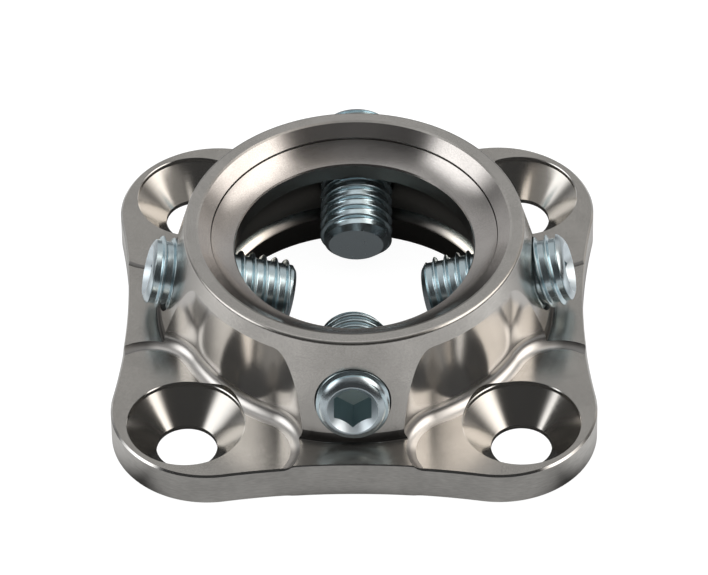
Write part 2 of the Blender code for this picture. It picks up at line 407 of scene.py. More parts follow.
def off_path(points):
    """Vectors in plan from the nearest point of the pocket cutter's path, for a pocket centred on +X."""
    mirror = np.where(points[:, 1] < 0, -1.0, 1.0)
    x, y = points[:, 0], points[:, 1] * mirror
    ray = np.array([math.cos(POCKET_HALF_SWEEP), math.sin(POCKET_HALF_SWEEP)])
    radius = np.maximum(np.hypot(x, y), TINY)
    along = np.maximum(x * ray[0] + y * ray[1], POCKET_PATH)
    swept = np.arctan2(y, x) <= POCKET_HALF_SWEEP
    near_x = np.where(swept, x / radius * POCKET_PATH, along * ray[0])
    near_y = np.where(swept, y / radius * POCKET_PATH, along * ray[1])
    return np.column_stack((x - near_x, (y - near_y) * mirror))


def pocket_wall_facing(points):
    return np.column_stack((off_path(points), np.zeros(len(points))))


def pocket_fillet_facing(points):
    offset = off_path(points)
    distance = np.maximum(np.linalg.norm(offset, axis=1, keepdims=True), TINY)
    beyond = offset * (1 - (POCKET_CUTTER_RADIUS - POCKET_CUTTER_NOSE) / distance)
    return np.column_stack((beyond, points[:, 2] - POCKET_FLOOR - POCKET_CUTTER_NOSE))


def pocket_ring(height, inset, reach):
    """Plan of one corner pocket, centred on +X, with its walls moved in by inset."""
    radius = POCKET_CUTTER_RADIUS - inset
    sweep = POCKET_HALF_SWEEP
    wall = arc((0.0, 0.0), POCKET_PATH - radius, sweep, -sweep, POCKET_WALL_STEPS)
    end = (POCKET_PATH * math.cos(sweep), POCKET_PATH * math.sin(sweep))
    right = arc((end[0], -end[1]), radius, math.pi - sweep, 1.5 * math.pi - sweep, POCKET_END_STEPS)[1:]
    left = arc(end, radius, math.pi / 2 + sweep, math.pi + sweep, POCKET_END_STEPS)[:-1]
    out = Vector((math.cos(sweep), math.sin(sweep))) * (reach - POCKET_PATH)
    far_left = (left[0][0] + out.x, left[0][1] + out.y)
    far_right = (right[-1][0] + out.x, right[-1][1] - out.y)
    return [(x, y, height) for x, y in [far_left] + left + wall + right + [far_right]]


def pocket_tool(bearing):
    """The space that a bull-nosed cutter sweeps around one corner."""
    reach = BLANK_RADIUS + POCKET_CUTTER_RADIUS
    rings = []
    for step in range(FILLET_STEPS + 1):
        angle = math.pi / 2 * step / FILLET_STEPS
        inset = POCKET_CUTTER_NOSE * (1 - math.sin(angle))
        height = POCKET_FLOOR + POCKET_CUTTER_NOSE * (1 - math.cos(angle))
        rings.append(pocket_ring(height, inset, reach))
    rings.append(pocket_ring(HUB_HEIGHT + CUT_MARGIN, 0.0, reach))
    place = Matrix.Rotation(bearing, 4, "Z")
    fillet = add_skin("blended", pocket_fillet_facing, place)
    wall = add_skin("polished", pocket_wall_facing, place)
    floor = add_skin("milled", None, place)
    tool = loft("pocket_tool", rings, [fillet] * FILLET_STEPS + [wall], [floor, wall])
    tool.matrix_world = place
    return tool


def bolt_hole_tool(bearing):
    """Countersunk hole of one corner, with the edge of its mouth broken."""
    sink_z = HOLE_LAND + COUNTERSINK_RADIUS - HOLE_RADIUS
    # The broken edge runs on a little past the surface that it meets
    over = COUNTERSINK_EDGE_BREAK / 5
    break_foot = (COUNTERSINK_RADIUS, POCKET_FLOOR - COUNTERSINK_EDGE_BREAK)
    break_top = (COUNTERSINK_RADIUS + COUNTERSINK_EDGE_BREAK + over, POCKET_FLOOR + over)
    stretches = [
        straight((HOLE_RADIUS, -CUT_MARGIN), (HOLE_RADIUS, HOLE_LAND), "countersink"),
        straight((HOLE_RADIUS, HOLE_LAND), (COUNTERSINK_RADIUS, sink_z), "countersink"),
        straight((COUNTERSINK_RADIUS, sink_z), break_foot, "countersink"),
        straight(break_foot, break_top, "edge"),
        straight(break_top, (break_top[0], HUB_HEIGHT), "countersink"),
    ]
    away = HOLE_SPACING / math.sqrt(2)
    place = Matrix.Translation((away * math.cos(bearing), away * math.sin(bearing), 0.0))
    return turned("bolt_hole_tool", stretches, HOLE_SEGMENTS, place)


def screw_frame(bearing, reach):
    """Placement on a screw's axis, with local +Z pointing out of the hub and upwards."""
    tilt = Matrix.Rotation(math.pi / 2 - SCREW_TILT, 4, "Y")
    turn = Matrix.Rotation(bearing, 4, "Z")
    lift = Matrix.Translation((0.0, 0.0, SCREW_AXIS_CROSSING))
    return lift @ turn @ tilt @ Matrix.Translation((0.0, 0.0, reach))


def screw_bore_tool(bearing):
    """Bore of a set screw, which opens a little at the cone that stands square to it."""
    face = cone_radius(SCREW_AXIS_CROSSING) * math.cos(SCREW_TILT)
    start = CAVITY_BELLY_RADIUS - SCREW_BORE_RADIUS
    mouth = face - start - SCREW_BORE_MOUTH
    wide = (SCREW_BORE_RADIUS + 2 * SCREW_BORE_MOUTH, mouth + 2 * SCREW_BORE_MOUTH)
    stretches = [
        straight((SCREW_BORE_RADIUS, 0.0), (SCREW_BORE_RADIUS, mouth), "bore"),
        straight((SCREW_BORE_RADIUS, mouth), wide, "turned"),
        straight(wide, (wide[0], BLANK_RADIUS - start), "turned"),
    ]
    return turned("screw_bore_tool", stretches, SCREW_SEGMENTS, screw_frame(bearing, start))


def outline_points():
    """The plate's outline as (point, outward direction) pairs: hollow sides tangent to round corners."""
    half = SIDE_HALF_ANGLE
    side_middle = (SIDE_CENTRE, 0.0)
    corner_middle = (CORNER_CENTRE, CORNER_CENTRE)
    side = arc(side_middle, SIDE_RADIUS, math.pi + half, math.pi - half, SIDE_STEPS)
    corner = arc(corner_middle, CORNER_RADIUS, -half, math.pi / 2 + half, CORNER_STEPS)
    pairs = [(Vector(p), (Vector(side_middle) - Vector(p)).normalized()) for p in side]
    pairs += [(Vector(p), (Vector(p) - Vector(corner_middle)).normalized()) for p in corner[1:-1]]
    turns = [Matrix.Rotation(quarter * math.pi / 2, 2) for quarter in range(4)]
    return [(turn @ point, turn @ out) for turn in turns for point, out in pairs]


def deck_height(point):
    """Height of the plate's upper side at a point outside the hub."""
    folded = Matrix.Rotation(-math.pi / 4, 2) @ Vector((abs(point.x), abs(point.y)))
    distance = np.linalg.norm(off_path(np.array([[folded.x, folded.y]])))
    beyond = distance - (POCKET_CUTTER_RADIUS - POCKET_CUTTER_NOSE)
    outward = folded.length > POCKET_PATH and abs(math.atan2(folded.y, folded.x)) < POCKET_HALF_SWEEP
    if outward or beyond <= 0:
        return POCKET_FLOOR
    rise = POCKET_CUTTER_NOSE - math.sqrt(max(POCKET_CUTTER_NOSE ** 2 - beyond ** 2, 0.0))
    return min(POCKET_FLOOR + rise, PLATE_THICKNESS)


def outline_facing(slope):
    """Rule for the plate's side, or for an edge break along it that leans up or down by slope."""
    def facing(points):
        size = np.abs(points[:, :2])
        swapped = size[:, 1] > size[:, 0]
        long = np.where(swapped, size[:, 1], size[:, 0])
        short = np.where(swapped, size[:, 0], size[:, 1])
        side = np.arctan2(short, SIDE_CENTRE - long) < SIDE_HALF_ANGLE
        out_long = np.where(side, SIDE_CENTRE - long, long - CORNER_CENTRE)
        out_short = np.where(side, -short, short - CORNER_CENTRE)
        length = np.hypot(out_long, out_short)
        out = np.where(swapped[:, None], np.column_stack((out_short, out_long)),
                       np.column_stack((out_long, out_short))) / length[:, None]
        return np.column_stack((out * np.sign(points[:, :2]), np.full(len(points), slope)))
    return facing


def outline_tool():
    """Prism of the plate's outline, with its edges broken along the base and the stepped upper side."""
    pairs = outline_points()
    decks = np.array([deck_height(point) for point, _ in pairs])
    raised = (decks - POCKET_FLOOR) / POCKET_DROP
    breaks = CORNER_EDGE_BREAK + (WAIST_EDGE_BREAK - CORNER_EDGE_BREAK) * raised
    # The broken edges run on a little past the surfaces that they meet
    over = breaks / 8

    def ring(insets, heights):
        return [(*(point - out * inset), z) for (point, out), inset, z in zip(pairs, insets, heights)]

    rings = [
        ring(breaks + over, -over),
        ring(breaks * 0, breaks),
        ring(breaks * 0, decks - breaks),
        ring(breaks + over, decks + over),
        ring(breaks + over, decks * 0 + HUB_HEIGHT + CUT_MARGIN),
    ]
    bands = [add_skin("edge", outline_facing(-1.0)), add_skin("side", outline_facing(0.0)),
             add_skin("edge", outline_facing(1.0)), add_skin("side", outline_facing(0.0))]
    return loft("outline_tool", rings, bands, [bands[1], bands[1]])


def build_receiver(finishes):
    profile = hub_stretches() + seat_stretches() + cavity_stretches()
    body = turned("receiver", profile, TURNED_SEGMENTS, closed=True)
    for index in range(4):
        bearing = math.pi / 4 + index * math.pi / 2
        combine(body, "DIFFERENCE", pocket_tool(bearing))
        combine(body, "DIFFERENCE", bolt_hole_tool(bearing))
    for _, bearing, _, _ in SET_SCREWS:
        combine(body, "DIFFERENCE", screw_bore_tool(bearing))
    combine(body, "INTERSECT", outline_tool())
    face_skins(body, finishes)
    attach(body, "receiver")
    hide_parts("receiver_body")


# Set screws

def thread_share(turn_share):
    """Share of the thread's depth, 1 on the crest, at a share of one pitch from the crest."""
    away = np.abs(np.mod(turn_share + 0.5, 1.0) - 0.5) * 2
    flank = np.clip((1 - THREAD_ROOT_SHARE - away) / (1 - THREAD_ROOT_SHARE - THREAD_CREST_SHARE), 0, 1)
    return flank * flank * (3 - 2 * flank)


def thread_radius(turn_share):
    return THREAD_CREST_RADIUS - THREAD_DEPTH * (1 - thread_share(turn_share))


def thread_facing(points):
    """Direction of the helical surface, from the slope of its profile."""
    radius = np.maximum(np.hypot(points[:, 0], points[:, 1]), TINY)
    share = points[:, 2] / THREAD_PITCH - np.arctan2(points[:, 1], points[:, 0]) / math.tau
    half_step = 0.5 / THREAD_STEPS
    slope = (thread_radius(share + half_step) - thread_radius(share - half_step)) / (2 * half_step)
    around = slope / (math.tau * radius)
    x, y = points[:, 0] / radius, points[:, 1] / radius
    return np.column_stack((x - y * around, y + x * around, -slope / THREAD_PITCH))


def thread_points(columns, rows, start):
    """Columns of points up the rod, each a little higher than the last, so that rows follow the helix."""
    points = []
    for column in range(columns):
        turn = column / columns
        for row in range(rows + 1):
            z = start + (row / THREAD_STEPS + turn) * THREAD_PITCH
            radius = float(thread_radius(z / THREAD_PITCH - turn))
            points.append((radius * math.cos(math.tau * turn), radius * math.sin(math.tau * turn), z))
    return points


def thread_faces(columns, rows):
    """Faces around the rod, and the loops of points that bound its foot and its head."""
    def at(column, row):
        return (column % columns) * (rows + 1) + row + (THREAD_STEPS if column == columns else 0)

    faces = []
    for column in range(columns):
        top = rows - THREAD_STEPS if column == columns - 1 else rows
        for row in range(top):
            faces.append((at(column, row), at(column + 1, row),
                          at(column + 1, row + 1), at(column, row + 1)))
    foot = [at(column, 0) for column in range(columns)]
    foot += [at(0, row) for row in range(THREAD_STEPS, 0, -1)]
    head = [at(column, rows) for column in range(columns)]
    head += [at(columns - 1, row) for row in range(rows - 1, rows - THREAD_STEPS - 1, -1)]
    return faces, foot, head


def thread_blank():
    """A closed threaded rod, longer than the screw."""
    rows = int((SCREW_LENGTH / THREAD_PITCH + 2 * THREAD_SPARE_TURNS) * THREAD_STEPS)
    start = -SCREW_LENGTH - THREAD_SPARE_TURNS * THREAD_PITCH
    points = thread_points(SCREW_SEGMENTS, rows, start)
    faces, foot, head = thread_faces(SCREW_SEGMENTS, rows)
    points += [(0.0, 0.0, start), (0.0, 0.0, start + (rows / THREAD_STEPS + 1) * THREAD_PITCH)]
    faces += [(len(points) - 2, b, a) for a, b in zip(foot, foot[1:] + foot[:1])]
    faces += [(len(points) - 1, a, b) for a, b in zip(head, head[1:] + head[:1])]
    number = add_skin("thread", thread_facing)
    return add_piece("threaded_rod", points, faces, [number] * len(faces))


def chamfered_rod():
    """The screw's ends: a flat chamfered tip and a rounded ring around the socket."""
    tip = (SCREW_RADIUS - SCREW_TIP_CHAMFER, -SCREW_LENGTH)
    tip_foot = (SCREW_RADIUS, SCREW_TIP_TAPER - SCREW_LENGTH)
    head_foot = (SCREW_RADIUS, -SCREW_HEAD_TAPER)
    stretches = [
        straight((AXIS_GAP, -SCREW_LENGTH), tip, "zinc"),
        straight(tip, tip_foot, "zinc"),
        straight(tip_foot, head_foot, "thread"),
        rounded_through(head_foot, SCREW_HEAD_BULGE, SCREW_FACE_EDGE, FILLET_STEPS, "zinc"),
        straight(SCREW_FACE_EDGE, (AXIS_GAP, SCREW_FACE_EDGE[1]), "zinc"),
    ]
    return turned("chamfered_rod", stretches, SCREW_SEGMENTS)


def socket_tool():
    """Hexagon key socket, open towards +Z."""
    corner = SOCKET_ACROSS_FLATS / math.sqrt(3)
    hexagon = arc((0.0, 0.0), corner, 0.0, math.tau * 5 / 6, 5)
    rings = [[(x, y, z) for x, y in hexagon] for z in (-SOCKET_DEPTH, CUT_MARGIN)]
    wall = add_skin("socket")
    return loft("hexagon", rings, [wall], [add_skin("dull"), wall])


def mouth_tool():
    """Countersink that runs down to the flats of the hexagon."""
    stretches = [
        straight((SOCKET_ACROSS_FLATS / 2, -SOCKET_MOUTH_DEPTH), (SOCKET_MOUTH_RADIUS, 0.0), "mouth"),
        straight((SOCKET_MOUTH_RADIUS, 0.0), (SOCKET_MOUTH_RADIUS, CUT_MARGIN), "zinc"),
    ]
    return turned("socket_mouth", stretches, SCREW_SEGMENTS)


def build_screws(finishes):
    """Four set screws of one mesh, each with its origin at the middle of its length."""
    screw = thread_blank()
    combine(screw, "INTERSECT", chamfered_rod())
    combine(screw, "DIFFERENCE", mouth_tool())
    combine(screw, "DIFFERENCE", socket_tool())
    face_skins(screw, finishes)
    screw.data.transform(Matrix.Translation((0.0, 0.0, HALF_SCREW)))
    for name, bearing, reach, turn in SET_SCREWS:
        piece = bpy.data.objects.new(f"threaded_screw_{name}", screw.data.copy())
        bpy.context.scene.collection.objects.link(piece)
        piece.matrix_world = screw_frame(bearing, reach - HALF_SCREW) @ Matrix.Rotation(turn, 4, "Z")
        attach(piece, f"{name}_screw")
        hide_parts(f"set_screw_{name}")
    bpy.data.objects.remove(screw, do_unlink=True)


# Colours and patterns of the metal, with pattern scales in cells per metre
WHITE = (1.0, 1.0, 1.0)
WARM_WHITE = (1.0, 0.95, 0.9)
STEEL = (0.56, 0.54, 0.51)
FILLET_STEEL = (0.68, 0.66, 0.635)
# Darker colour painted at the outer ends of the pocket fillets: painted shade that dims their highlight
FILLET_END_SHADE = (0.3, 0.29, 0.28)
# Painted shade and painted highlight on the cavity's rounded foot
SHADED_STEEL = (0.16, 0.15, 0.14)
PAINTED_HIGHLIGHT_STEEL = (0.98, 0.92, 0.82)
SPECKLE_SCALE = 7000.0
SPECKLE_CONTRAST = (0.3, 0.7)
STAIN_SCALE = 300.0
STAIN_CONTRAST = (0.35, 0.65)
STAIN_SHARE = 0.35
CONE_RING_LEAN = 0.7
BORE_RING_LEAN = 0.5
SINK_RING_LEAN = 0.5
SIDE_SPECKLE_SHRINK = 0.15
SIDE_MARK_SHRINK = 0.06
# Reach of the fillets' painted shade and extra roughness at their outer ends
FILLET_END_REACH = (0.0213, 0.0228)
FILLET_END_SIDE = (0.0088, 0.0072)
FILLET_END_ROUGH = 0.06
# Where the painted highlight on the cavity's foot begins beside the side screws
PAINTED_HIGHLIGHT_SIDE = (0.0085, 0.0125)

# Sockets of a Mix node that carry its colours
MIX_FIRST = 6
MIX_SECOND = 7
MIX_RESULT = 2


class Value:
    """A shader socket that works in Python expressions."""

    def __init__(self, shading, socket):
        self.shading = shading
        self.socket = socket

    def __add__(self, other):
        return self.shading.maths("ADD", self, other)

    __radd__ = __add__

    def __sub__(self, other):
        return self.shading.maths("SUBTRACT", self, other)

    def __rsub__(self, other):
        return self.shading.maths("SUBTRACT", other, self)

    def __mul__(self, other):
        return self.shading.maths("MULTIPLY", self, other)

    __rmul__ = __mul__

    def __pow__(self, other):
        return self.shading.maths("POWER", self, other)

    def __abs__(self):
        return self.shading.maths("ABSOLUTE", self)


def hypot(x, y):
    """Length of a vector of two shader values."""
    return (x * x + y * y) ** 0.5


def grey(level):
    return (level, level, level)


class Shading:
    """A node tree under construction, with one method that adds a node."""

    def __init__(self, tree):
        self.tree = tree

    def add(self, kind, settings=None, inputs=None, output=0):
        node = self.tree.nodes.new(kind)
        for key, value in (settings or {}).items():
            setattr(node, key, value)
        for key, value in (inputs or {}).items():
            self.feed(node.inputs[key], value)
        return Value(self, node.outputs[output])

    def feed(self, socket, value):
        if isinstance(value, Value):
            self.tree.links.new(value.socket, socket)
        else:
            socket.default_value = value

    def maths(self, operation, first, second=0.0):
        return self.add("ShaderNodeMath", {"operation": operation}, {0: first, 1: second})

    def between(self, value, low, high, smooth=True):
        """0 at low and 1 at high, held at both ends."""
        kind = "SMOOTHSTEP" if smooth else "LINEAR"
        return self.add("ShaderNodeMapRange", {"interpolation_type": kind, "clamp": True},
                        {"Value": value, "From Min": low, "From Max": high})

    def window(self, value, low, high, blur):
        """1 between low and high, with soft edges."""
        return self.between(value, low - blur, low + blur) * self.between(value, high + blur, high - blur)

    def mix(self, share, first, second):
        """A colour between two colours."""
        ends = [colour if isinstance(colour, Value) else (*colour, 1.0) for colour in (first, second)]
        return self.add("ShaderNodeMix", {"data_type": "RGBA"},
                        {0: share, MIX_FIRST: ends[0], MIX_SECOND: ends[1]}, MIX_RESULT)

    def ray(self, kind):
        """1 for rays of one kind, such as Camera or Glossy."""
        return self.add("ShaderNodeLightPath", output=f"Is {kind} Ray")

    def place(self, kind="Object"):
        """The point and its three coordinates."""
        point = self.add("ShaderNodeTexCoord", output=kind)
        parts = self.tree.nodes.new("ShaderNodeSeparateXYZ")
        self.feed(parts.inputs[0], point)
        return (point, *[Value(self, parts.outputs[i]) for i in range(3)])


class Finish(Shading):
    """A metal finish on one main shader, patterned in the piece's own coordinates."""

    def __init__(self, name, colour=STEEL, metallic=1.0, **constants):
        self.material = bpy.data.materials.new(name)
        self.material.use_nodes = True
        super().__init__(self.material.node_tree)
        self.point, self.x, self.y, self.z = self.place()
        self.shader = self.tree.nodes["Principled BSDF"]
        self.shader.inputs["Base Color"].default_value = (*colour, 1.0)
        self.shader.inputs["Metallic"].default_value = metallic
        for key, value in constants.items():
            self.shader.inputs[key.replace("_", " ").title()].default_value = value

    def radius(self):
        """Distance from the hub axis."""
        return hypot(self.x, self.y)

    def shrunk(self, share):
        """The point with its level coordinates shrunk, which draws patterns out along the sides."""
        return self.add("ShaderNodeCombineXYZ", None, {0: self.x * share, 1: self.y * share, 2: self.z})

    def grain(self, scale, detail=3.0, at=None, along=None):
        """Noise from 0 to 1, in space or along one value."""
        settings = {"noise_dimensions": "1D" if along else "3D"}
        inputs = {"Scale": scale, "Detail": detail}
        if along:
            inputs["W"] = along
        else:
            inputs["Vector"] = at or self.point
        return self.add("ShaderNodeTexNoise", settings, inputs)

    def colour(self, share, first, second):
        self.feed(self.shader.inputs["Base Color"], self.mix(share, first, second))

    def speckle(self, colour, spread, scale=SPECKLE_SCALE, at=None):
        """Base colour with a fine speckle and faint larger stains."""
        dots = self.between(self.grain(scale, detail=1.0, at=at), *SPECKLE_CONTRAST, smooth=False)
        stains = self.between(self.grain(STAIN_SCALE), *STAIN_CONTRAST)
        dark = [part * (1 - spread) for part in colour]
        light = [part * (1 + spread) for part in colour]
        self.colour(dots * (1 - STAIN_SHARE) + stains * STAIN_SHARE, dark, light)

    def texture(self, pattern, rough, spread, depth=0.0, strength=1.0):
        """Roughness of rough plus spread, and relief depth metres high, where the pattern is 1."""
        self.feed(self.shader.inputs["Roughness"], rough + pattern * spread)
        if depth:
            relief = {"Height": pattern, "Distance": depth, "Strength": strength}
            self.feed(self.shader.inputs["Normal"], self.add("ShaderNodeBump", None, relief))


# Finishes of the receiver

def turned_finish():
    """Fine lathe rings on the rim and the cone."""
    finish = Finish("turned_satin", anisotropic=0.7, anisotropic_rotation=0.25)
    finish.speckle(colour=STEEL, spread=0.11)
    rings = finish.grain(9000.0, along=finish.z + finish.radius() * CONE_RING_LEAN)
    finish.texture(rings, rough=0.16, spread=0.1, depth=0.000004, strength=0.5)
    return finish.material


def seat_finish():
    """Finer lathe rings in the seat."""
    finish = Finish("seat_turning", anisotropic=0.65, anisotropic_rotation=0.25)
    finish.speckle(colour=(0.51, 0.485, 0.465), spread=0.12)
    rings = finish.grain(14000.0, along=finish.z + finish.radius() * CONE_RING_LEAN)
    finish.texture(rings, rough=0.19, spread=0.09, depth=0.000003, strength=0.4)
    return finish.material


def polished_finish():
    """Bright milled walls of the pockets."""
    finish = Finish("pocket_polish", colour=(0.6, 0.58, 0.555), metallic=0.93)
    finish.texture(finish.grain(500.0, detail=2.0), rough=0.14, spread=0.07, depth=0.000008, strength=0.2)
    return finish.material


def blended_finish():
    """Fillets at the feet of the pockets, polished less than the walls and least at their outer ends,
    which also carry painted shade that dims their highlight.
    """
    finish = Finish("fillet_polish")
    long = finish.maths("MAXIMUM", abs(finish.x), abs(finish.y))
    short = finish.maths("MINIMUM", abs(finish.x), abs(finish.y))
    outer = finish.between(long, *FILLET_END_REACH) * finish.between(short, *FILLET_END_SIDE)
    finish.colour(outer, FILLET_STEEL, FILLET_END_SHADE)
    rough = 0.26 + outer * FILLET_END_ROUGH
    finish.texture(finish.grain(700.0, detail=2.0), rough, spread=0.08, depth=0.000008, strength=0.2)
    return finish.material


def foot_finish():
    """Dark band at the foot of the hub: painted shade in the crease where the hub meets the plate."""
    finish = Finish("foot_band", colour=(0.11, 0.105, 0.1))
    finish.texture(finish.grain(900.0, detail=2.0), rough=0.16, spread=0.08)
    return finish.material


def milled_finish():
    """Floors of the pockets, with faint marks of the cutter's sweep around the hub."""
    finish = Finish("milled_floor", metallic=0.93)
    finish.speckle(colour=(0.49, 0.47, 0.44), spread=0.12)
    marks = finish.grain(3500.0, along=finish.radius())
    finish.texture(marks, rough=0.19, spread=0.07, depth=0.000005, strength=0.4)
    return finish.material


def countersink_finish():
    """Turned rings of the countersinks, around each hole."""
    finish = Finish("countersink_turning", colour=(0.54, 0.52, 0.49), metallic=0.97)
    away = hypot(abs(finish.x) - HOLE_SPACING / 2, abs(finish.y) - HOLE_SPACING / 2)
    rings = finish.grain(6000.0, detail=2.0, along=away + finish.z * SINK_RING_LEAN)
    finish.texture(rings, rough=0.13, spread=0.07, depth=0.000004, strength=0.5)
    return finish.material


def side_finish():
    """Satin sides of the plate, with fine milling marks that run along them."""
    finish = Finish("plate_side")
    drawn = finish.shrunk(SIDE_SPECKLE_SHRINK)
    finish.speckle(colour=(0.55, 0.535, 0.51), spread=0.14, scale=8000.0, at=drawn)
    marks = finish.grain(5000.0, at=finish.shrunk(SIDE_MARK_SHRINK))
    finish.texture(marks, rough=0.28, spread=0.16, depth=0.00002, strength=0.8)
    return finish.material


def edge_finish():
    """Polished edge breaks."""
    finish = Finish("edge_break", colour=(0.66, 0.65, 0.63))
    finish.texture(finish.grain(2000.0, detail=2.0), rough=0.1, spread=0.08)
    return finish.material


def painted_round_finish():
    """Rounded foot of the cavity: painted highlight beside the left and right screws, painted shade
    elsewhere.
    """
    finish = Finish("painted_light_round")
    finish.colour(finish.between(abs(finish.x), *PAINTED_HIGHLIGHT_SIDE), SHADED_STEEL, PAINTED_HIGHLIGHT_STEEL)
    finish.texture(finish.grain(800.0, detail=2.0), rough=0.17, spread=0.08)
    return finish.material


def bore_finish():
    """Cavity, bores and the seat's groove: rougher, and darker by painted shade in these hollows."""
    finish = Finish("bored_steel", colour=(0.2, 0.19, 0.175))
    rings = finish.grain(4000.0, detail=2.0, along=finish.z + finish.radius() * BORE_RING_LEAN)
    finish.texture(rings, rough=0.28, spread=0.1, depth=0.000002, strength=0.3)
    return finish.material


def base_finish():
    """Faced underside with rings about the hub axis."""
    finish = Finish("faced_base")
    rings = finish.grain(3500.0, along=finish.radius())
    finish.texture(rings, rough=0.28, spread=0.12, depth=0.00001, strength=0.6)
    return finish.material


# Finishes of the screws

def zinc_finish():
    """Bright bluish zinc plating."""
    finish = Finish("zinc_plating", colour=(0.6, 0.68, 0.72))
    finish.texture(finish.grain(900.0), rough=0.18, spread=0.14, depth=0.00003, strength=0.4)
    return finish.material


def thread_finish():
    """Plating on the rolled thread."""
    finish = Finish("zinc_thread", colour=(0.68, 0.81, 0.86))
    finish.texture(finish.grain(1200.0), rough=0.2, spread=0.1, depth=0.00001, strength=0.3)
    return finish.material


def mouth_finish():
    """Pale mouth of the key socket: the plating painted paler, a painted highlight on its cone."""
    finish = Finish("socket_mouth", colour=(0.86, 0.95, 1.0))
    finish.texture(finish.grain(900.0), rough=0.38, spread=0.12)
    return finish.material


def dull_finish():
    """Dull plating at the bottom of the key socket."""
    finish = Finish("socket_floor", colour=(0.62, 0.74, 0.72), metallic=0.2)
    finish.texture(finish.grain(1500.0), rough=0.5, spread=0.2)
    return finish.material


def socket_finish():
    """Thin dark blue plating inside the key socket."""
    finish = Finish("socket_plating", colour=(0.4, 0.52, 0.56))
    finish.texture(finish.grain(900.0), rough=0.38, spread=0.14)
    return finish.material


# Camera, as it stood for the photograph
CAMERA_ELEVATION = math.radians(43.242)
CAMERA_BEARING = math.radians(1.332)
CAMERA_ROLL = math.radians(-1.037)
CAMERA_DISTANCE = 0.7556
CAMERA_LENS = 353.06
CAMERA_SENSOR = 36.0
CAMERA_CLIP = (0.05, 20.0)
CAMERA_AIM = Vector((-0.000122, 0.0, 0.007079))

# Light of the surroundings: strengths, and in degrees bearings from the front and rises above level
OVERHEAD_LIGHT = 0.04
ZENITH_LIGHT = 0.15
ZENITH_RISE = (50, 74)
BACK_WALL_LIGHT = 0.44
BACK_WALL_BEARING = (95, 145)
BACK_WALL_TOP = (86, 62)
BACK_GAP_SHARE = 0.9
BACK_GAP_BEARING = (146, 162)
BACK_GAP_TOP = (18, 3)
BACK_SIDES_LIGHT = 0.12
BACK_SIDES_BEARING = (125, 150)
BACK_SIDES_TOP = (50, 30)
CEILING_LIGHT = 0.35
CEILING_DEPTH = (-0.08, 0.2)
CEILING_RISE = (55, 68)
RIGHT_PANEL_LIGHT = 2.5
RIGHT_PANEL_BEARING = (56, 120)
RIGHT_PANEL_RISE = (26, 46)
RIGHT_PANEL_LIFT = 18
RIGHT_LIFT_BEARING = (55, 85)
LEFT_PANEL_LIGHT = 2.1
LEFT_PANEL_BEARING = (-108, -62)
LEFT_PANEL_RISE = (20, 40)
LEFT_PANEL_LIFT = 16
LEFT_LIFT_BEARING = (-56, -80)
LEFT_PANEL_FALL = 5
LEFT_FALL_BEARING = (-88, -100)
PANEL_SIDE_BLUR = 8
PANEL_EDGE_BLUR = 9
WARM_SIDE_START = (20, 60)
WARM_SIDE_END = (150, 130)
AMBIENT_LIGHT = 0.8

# Floor: its paint, its light for the camera, and its light in the metal, at places in metres
FLOOR_SIZE = 6.0
FLOOR_DROP = 0.00005
FLOOR_DIFFUSE = 0.8
FLOOR_CAMERA_DIFFUSE = 0.25
FLOOR_GLOSSY_DIFFUSE = 0.06
FLOOR_CAMERA_LIGHT = 0.95
FLOOR_LIGHT = 0.01
PLATE_EDGE_LIGHT = 0.36
PLATE_EDGE_REACH = (0.0235, 0.0265)
NEAR_LIGHT = 0.12
NEAR_REACH = (0.03, 0.06)
BEHIND_SHARE = 0.7
BEHIND_DEPTH = (0.03, 0.08)
MIDDLE_LIGHT = 0.1
MIDDLE_REACH = (0.012, 0.008)
STRIP_LIGHT = 0.32
STRIP_REACH = (0.0265, 0.034)
STRIP_BLUR = 0.0015
SIDE_LIGHT = 0.2
SIDE_REACH = (0.03, 0.07)
SIDE_BAND_LIGHT = 0.45
SIDE_BAND_DEPTH = (-0.028, 0.002)
SIDE_BAND_BLUR = 0.01


# Studio

def build_camera():
    """Long lens from the photograph's place."""
    level = Vector((math.cos(CAMERA_BEARING), math.sin(CAMERA_BEARING), 0.0))
    front = Vector((math.sin(CAMERA_BEARING), -math.cos(CAMERA_BEARING), 0.0))
    back = front * math.cos(CAMERA_ELEVATION) + Vector((0.0, 0.0, math.sin(CAMERA_ELEVATION)))
    up = back.cross(level)
    right = level * math.cos(CAMERA_ROLL) + up * math.sin(CAMERA_ROLL)
    top = up * math.cos(CAMERA_ROLL) - level * math.sin(CAMERA_ROLL)
    data = bpy.data.cameras.new("camera")
    data.lens = CAMERA_LENS
    data.sensor_width = CAMERA_SENSOR
    data.clip_start, data.clip_end = CAMERA_CLIP
    camera = bpy.data.objects.new("camera", data)
    bpy.context.scene.collection.objects.link(camera)
    place = Matrix((right, top, back)).transposed().to_4x4()
    place.translation = CAMERA_AIM + back * CAMERA_DISTANCE
    camera.matrix_world = place
    bpy.context.scene.camera = camera


def back_light(sky, depth, bearing, rise):
    """Grey wall behind with a dark gap low in its middle, light at its sides, and a ceiling over it."""
    bearing = abs(bearing)
    wall = sky.between(bearing, *BACK_WALL_BEARING) * sky.between(rise, *BACK_WALL_TOP)
    gap = sky.between(bearing, *BACK_GAP_BEARING) * sky.between(rise, *BACK_GAP_TOP)
    sides = sky.window(bearing, *BACK_SIDES_BEARING, PANEL_SIDE_BLUR) * sky.between(rise, *BACK_SIDES_TOP)
    ceiling = sky.between(depth, *CEILING_DEPTH) * sky.between(rise, *CEILING_RISE)
    wall_light = BACK_WALL_LIGHT * wall * (1 - BACK_GAP_SHARE * gap)
    return wall_light + BACK_SIDES_LIGHT * sides + CEILING_LIGHT * ceiling


